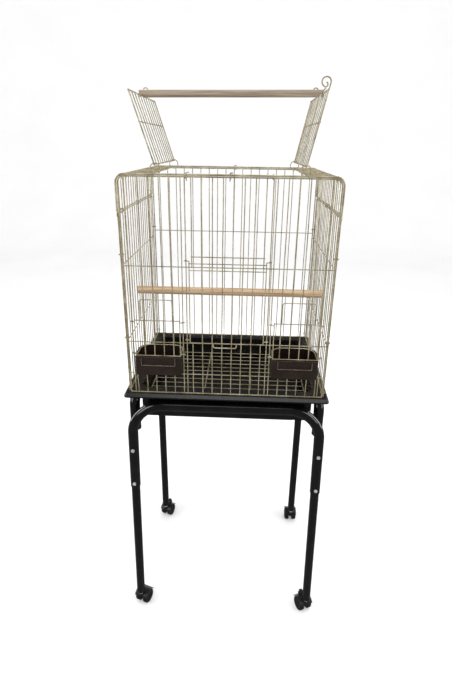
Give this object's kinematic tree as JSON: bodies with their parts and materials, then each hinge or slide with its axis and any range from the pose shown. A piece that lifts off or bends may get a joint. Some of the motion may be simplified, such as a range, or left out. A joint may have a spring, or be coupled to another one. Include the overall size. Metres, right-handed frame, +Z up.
{
  "type": "bird cage on stand",
  "caption": "Wire bird cage with an open double-leaf roof and perch, sliding doors, feed cups and a pull-out tray, on a tube stand with twin-wheel casters.",
  "frame": {"origin": "centre of the overall footprint, on the floor under the casters", "axes": "+X to the right seen from the front, +Y to the back, +Z up; the front door faces -Y"},
  "size_m": [0.5202, 0.4284, 1.3861],
  "materials": {
    "stand_black": "gloss",
    "zinc": "bright zinc",
    "plug_plastic": "satin",
    "caster_plastic": "satin",
    "wheel_plastic": "satin",
    "tub_plastic": "gloss",
    "tray_plastic": "satin",
    "cup_plastic": "satin",
    "grey_wood": "bare",
    "tan_wood": "bare",
    "dull_wire": "tarnished brown",
    "plated_wire": "plated cream brass"
  },
  "bodies": {
    "cage_and_stand": {"back_panel": "plated_wire", "back_stand_arch": "stand_black", "base_tub": "tub_plastic", "caster_stems": "zinc", "corner_clips": "plated_wire", "floor_grille": "plated_wire", "frame_bolts": "zinc", "front_panel": "plated_wire", "front_stand_arch": "stand_black", "inner_perch": "tan_wood", "leaf_hinge_rings": "plated_wire", "left_cup_holder": "plated_wire", "left_panel": "plated_wire", "left_side_frame": "stand_black", "leg_plugs": "plug_plastic", "leg_screws": "zinc", "lower_leg_bl": "stand_black", "lower_leg_br": "stand_black", "lower_leg_fl": "stand_black", "lower_leg_fr": "stand_black", "right_cup_holder": "plated_wire", "right_panel": "plated_wire", "right_side_frame": "stand_black", "roof_cap": "plated_wire", "side_rail_clips": "plated_wire", "top_rail_clips": "plated_wire"},
    "left_leaf": {"left_roof_leaf": "plated_wire", "left_leaf_loop": "plated_wire"},
    "right_leaf": {"right_roof_leaf": "plated_wire", "right_leaf_loop": "plated_wire", "scroll_hook": "plated_wire"},
    "perch_bar": {"top_perch": "grey_wood"},
    "front_door_body": {"front_door": "plated_wire", "front_door_eyes": "plated_wire", "front_door_handle": "plated_wire"},
    "left_feeder_door_body": {"left_feeder_door": "plated_wire", "left_feeder_eyes": "plated_wire"},
    "left_cup_body": {"left_cup": "cup_plastic", "left_cup_pull": "dull_wire"},
    "right_feeder_door_body": {"right_feeder_door": "plated_wire", "right_feeder_eyes": "plated_wire"},
    "right_cup_body": {"right_cup": "cup_plastic", "right_cup_pull": "dull_wire"},
    "tray_body": {"slide_out_tray": "tray_plastic"},
    "caster_fl_swivel": {"caster_fl_housing": "caster_plastic"},
    "caster_fl_rollers": {"caster_fl_wheels": "wheel_plastic", "caster_fl_axle": "zinc"},
    "caster_fr_swivel": {"caster_fr_housing": "caster_plastic"},
    "caster_fr_rollers": {"caster_fr_wheels": "wheel_plastic", "caster_fr_axle": "zinc"},
    "caster_fr_lever": {"caster_fr_brake": "caster_plastic"},
    "caster_bl_swivel": {"caster_bl_housing": "caster_plastic"},
    "caster_bl_rollers": {"caster_bl_wheels": "wheel_plastic", "caster_bl_axle": "zinc"},
    "caster_bl_lever": {"caster_bl_brake": "caster_plastic"},
    "caster_br_swivel": {"caster_br_housing": "caster_plastic"},
    "caster_br_rollers": {"caster_br_wheels": "wheel_plastic", "caster_br_axle": "zinc"}
  },
  "joints": [
    {"name": "left_leaf_hinge", "type": "hinge", "parent": "cage_and_stand", "child": "left_leaf", "pos_m": [-0.157, -0.0081, 1.222], "axis": [0, 1, 0], "range_deg": [0, 108.2]},
    {"name": "right_leaf_hinge", "type": "hinge", "parent": "cage_and_stand", "child": "right_leaf", "pos_m": [0.157, -0.0081, 1.222], "axis": [0, 1, 0], "range_deg": [-102.6, 0]},
    {"name": "perch_bar_lift", "type": "slide", "parent": "cage_and_stand", "child": "perch_bar", "axis": [0, 0, 1], "range_m": [0, 0.38]},
    {"name": "front_door_slide", "type": "slide", "parent": "cage_and_stand", "child": "front_door_body", "axis": [0, 0, 1], "range_m": [0, 0.15]},
    {"name": "left_feeder_door_slide", "type": "slide", "parent": "cage_and_stand", "child": "left_feeder_door_body", "axis": [0, 0, 1], "range_m": [0, 0.024]},
    {"name": "left_cup_slide", "type": "slide", "parent": "cage_and_stand", "child": "left_cup_body", "axis": [0, -1, 0], "range_m": [0, 0.075]},
    {"name": "right_feeder_door_slide", "type": "slide", "parent": "cage_and_stand", "child": "right_feeder_door_body", "axis": [0, 0, 1], "range_m": [0, 0.024]},
    {"name": "right_cup_slide", "type": "slide", "parent": "cage_and_stand", "child": "right_cup_body", "axis": [0, -1, 0], "range_m": [0, 0.075]},
    {"name": "tray_slide", "type": "slide", "parent": "cage_and_stand", "child": "tray_body", "axis": [0, -1, 0], "range_m": [0, 0.28]},
    {"name": "caster_fl_swivel_joint", "type": "hinge", "parent": "cage_and_stand", "child": "caster_fl_swivel", "pos_m": [-0.2402, -0.1891, 0.045], "axis": [0, 0, 1], "continuous": true},
    {"name": "caster_fl_roll", "type": "hinge", "parent": "caster_fl_swivel", "child": "caster_fl_rollers", "pos_m": [-0.23447, -0.17416, 0.02], "axis": [-0.9336, 0.3584, 0], "continuous": true},
    {"name": "caster_fr_swivel_joint", "type": "hinge", "parent": "cage_and_stand", "child": "caster_fr_swivel", "pos_m": [0.2402, -0.1891, 0.045], "axis": [0, 0, 1], "continuous": true},
    {"name": "caster_fr_roll", "type": "hinge", "parent": "caster_fr_swivel", "child": "caster_fr_rollers", "pos_m": [0.23369, -0.17448, 0.02], "axis": [-0.9135, -0.4067, 0], "continuous": true},
    {"name": "caster_fr_lever_hinge", "type": "hinge", "parent": "caster_fr_swivel", "child": "caster_fr_lever", "pos_m": [0.22796, -0.16161, 0.04256], "axis": [-0.9135, -0.4067, 0], "range_deg": [0, 30]},
    {"name": "caster_bl_swivel_joint", "type": "hinge", "parent": "cage_and_stand", "child": "caster_bl_swivel", "pos_m": [-0.2257, 0.1729, 0.045], "axis": [0, 0, 1], "continuous": true},
    {"name": "caster_bl_roll", "type": "hinge", "parent": "caster_bl_swivel", "child": "caster_bl_rollers", "pos_m": [-0.22023, 0.18793, 0.02], "axis": [-0.9397, 0.342, 0], "continuous": true},
    {"name": "caster_bl_lever_hinge", "type": "hinge", "parent": "caster_bl_swivel", "child": "caster_bl_lever", "pos_m": [-0.21541, 0.20118, 0.04256], "axis": [-0.9397, 0.342, 0], "range_deg": [0, 30]},
    {"name": "caster_br_swivel_joint", "type": "hinge", "parent": "cage_and_stand", "child": "caster_br_swivel", "pos_m": [0.2257, 0.1729, 0.045], "axis": [0, 0, 1], "continuous": true},
    {"name": "caster_br_roll", "type": "hinge", "parent": "caster_br_swivel", "child": "caster_br_rollers", "pos_m": [0.22514, 0.18889, 0.02], "axis": [-0.9994, -0.0349, 0], "continuous": true}
  ],
  "couplings": [
    {"joint": "right_leaf_hinge", "follows": "left_leaf_hinge", "ratio": -0.948},
    {"joint": "perch_bar_lift", "follows": "left_leaf_hinge", "m_per_rad": 0.2}
  ]
}
